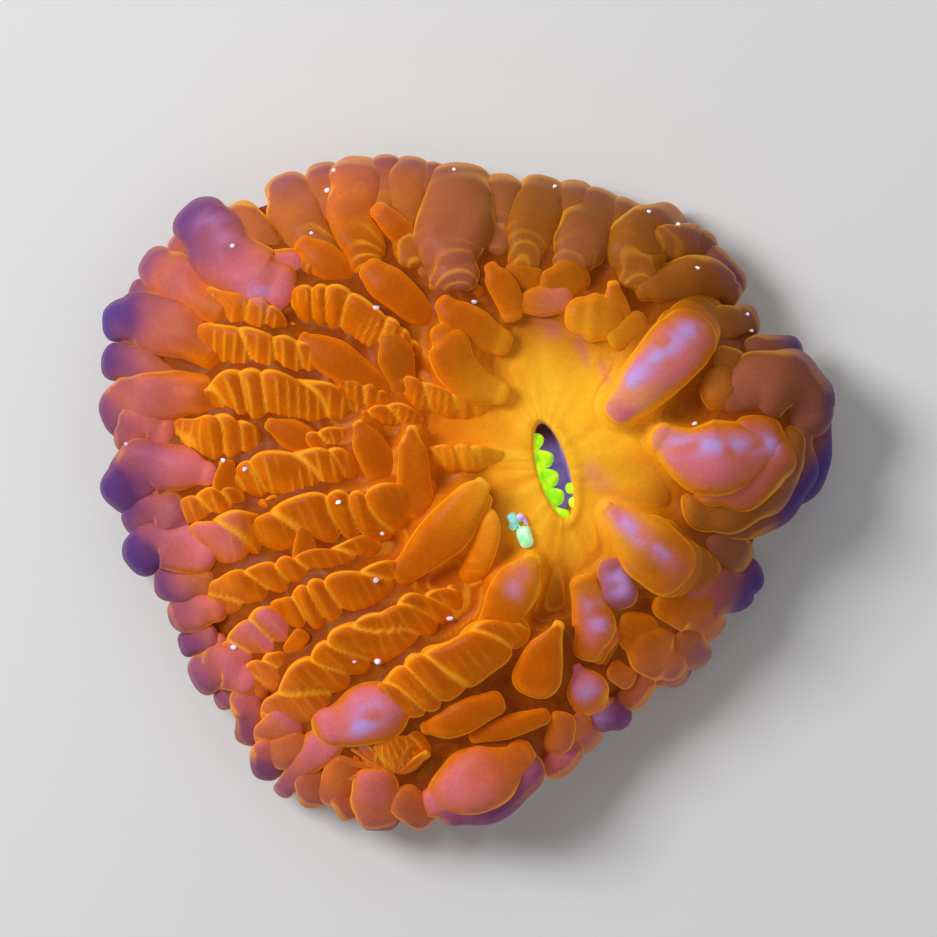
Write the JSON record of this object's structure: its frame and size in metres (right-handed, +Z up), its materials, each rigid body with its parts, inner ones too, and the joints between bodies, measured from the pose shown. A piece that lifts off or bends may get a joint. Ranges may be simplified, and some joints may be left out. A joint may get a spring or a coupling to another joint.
{
  "type": "plate coral",
  "caption": "Low domed plate coral: a solitary polyp with a slit mouth, swollen lobes round the rim, rows of puffy folds and leaf-shaped tentacles, resting on a flat cut underside",
  "frame": {"origin": "the middle of the coral's outline, on the flat face it rests on", "axes": "+Z up out of the mouth's side, +X towards the short steep side with the largest swollen lobes, +Y towards the side of the long plain lobes"},
  "size_m": [0.0742, 0.0688, 0.0198],
  "materials": {
    "coral_tissue": "living coral skin: wet, soft and slightly see-through orange tissue that turns yellow at the mouth, pink on the swollen lobes and violet to blue at the rim, over a pale stony underside"
  },
  "bodies": {
    "root": {"plate_coral": "coral_tissue"}
  },
  "joints": []
}
